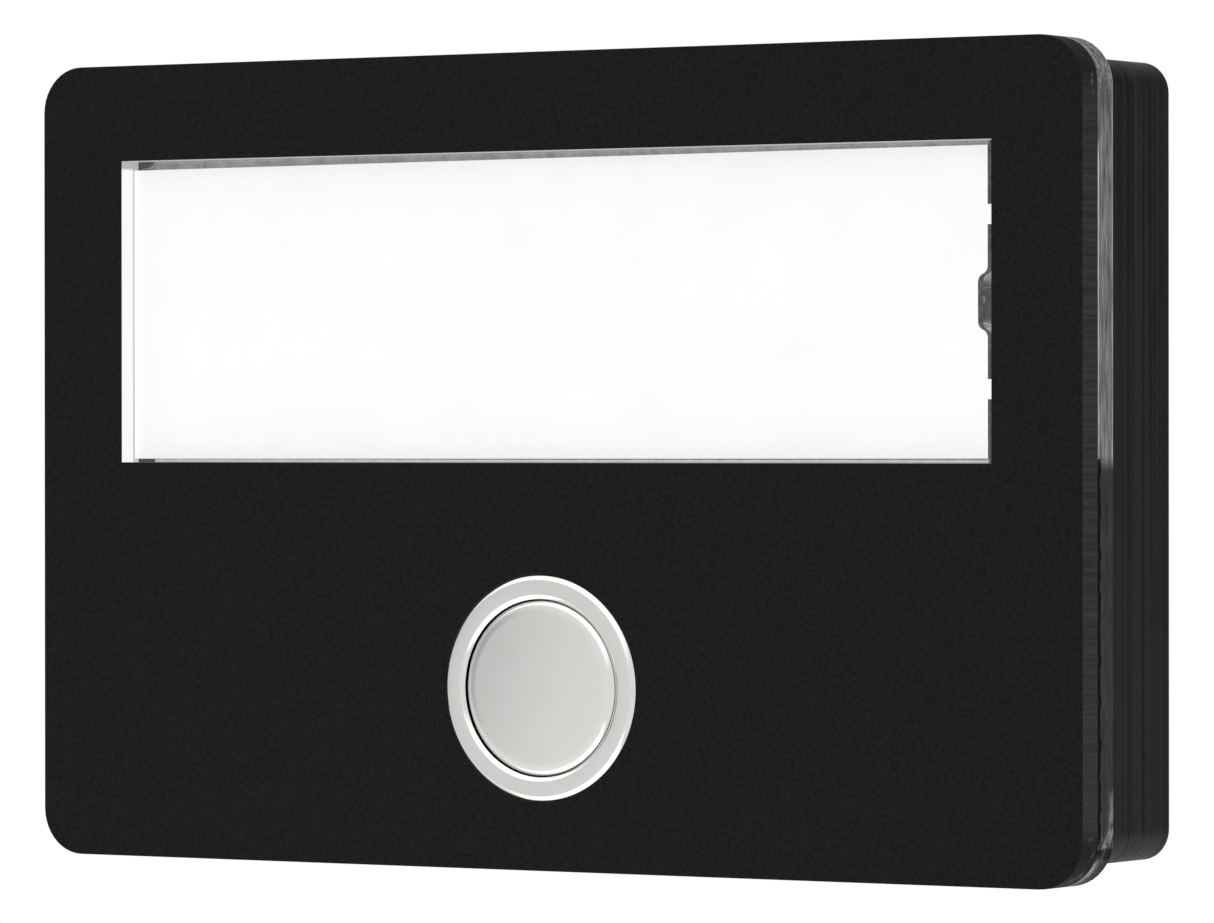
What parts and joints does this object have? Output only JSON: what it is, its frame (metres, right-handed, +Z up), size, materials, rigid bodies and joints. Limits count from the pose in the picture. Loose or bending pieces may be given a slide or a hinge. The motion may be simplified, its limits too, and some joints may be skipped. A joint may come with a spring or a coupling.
{
  "type": "illuminated doorbell push",
  "caption": "Flat wall-mounted doorbell push: black face plate on a shallow casing, wide back-lit name window with a removable strip, round metal push below it.",
  "frame": {"origin": "middle of the back face, on the wall", "axes": "+X to the right seen from the front, +Y into the wall, +Z up; the face looks along -Y"},
  "size_m": [0.12, 0.0223, 0.08],
  "materials": {
    "face_black": "matt black film with a fine grain",
    "clear_plate": "clear plate over black, laser-cut edge",
    "bond_black": "black adhesive sheet",
    "strip_white": "satin white, lit from behind",
    "casing_black": "matt black, fine layer lines",
    "seal_rubber": "soft matt",
    "push_metal": "fine satin with polished bevels",
    "nut_metal": "nickel plated",
    "screw_steel": "zinc plated",
    "lock_steel": "blackened",
    "brass": "turned",
    "frame_white": "white, reflecting",
    "board_white": "white solder mask",
    "led_lens": "pale yellow lens in a white body",
    "chip_black": "moulded",
    "chip_tan": "moulded",
    "board_green": "green solder mask",
    "block_grey": "moulded",
    "switch_plastic": "moulded",
    "plunger_white": "moulded",
    "lead_red": "soft insulation",
    "lead_grey": "soft insulation"
  },
  "bodies": {
    "housing": {"face_film": "face_black", "front_plate": "clear_plate", "carrier_plate": "clear_plate", "bond_sheet": "bond_black", "shell_tape": "bond_black", "housing_shell": "casing_black", "wall_base": "casing_black", "cable_grommet": "seal_rubber", "flange_gasket": "seal_rubber", "button_barrel": "push_metal", "barrel_nut": "nut_metal", "terminal_screws": "nut_metal", "housing_screws": "screw_steel", "return_spring": "screw_steel", "lock_screws": "lock_steel", "lock_inserts": "brass", "terminal_cages": "brass", "switch_terminals": "brass", "light_frame": "frame_white", "diffuser_film": "frame_white", "led_board": "board_white", "leds": "led_lens", "led_resistors": "chip_black", "bridge_rectifier": "chip_black", "smoothing_capacitor": "chip_tan", "connection_board": "board_green", "terminal_block": "block_grey", "switch_body": "switch_plastic", "lamp_leads": "lead_red", "switch_leads": "lead_grey"},
    "push": {"button_cap": "push_metal", "cap_seal": "seal_rubber", "cap_clip": "nut_metal", "plunger": "plunger_white", "contact_bridge": "brass"},
    "strip": {"name_insert": "strip_white"}
  },
  "joints": [
    {"name": "button_press", "type": "slide", "parent": "housing", "child": "push", "axis": [0, 1, 0], "range_m": [0, 0.0015], "stiffness_N_per_m": 800, "springref_m": -0.002, "deforming": ["return_spring"]},
    {"name": "strip_lift", "type": "slide", "parent": "housing", "child": "strip", "axis": [0, -1, 0], "range_m": [0, 0.01]}
  ]
}
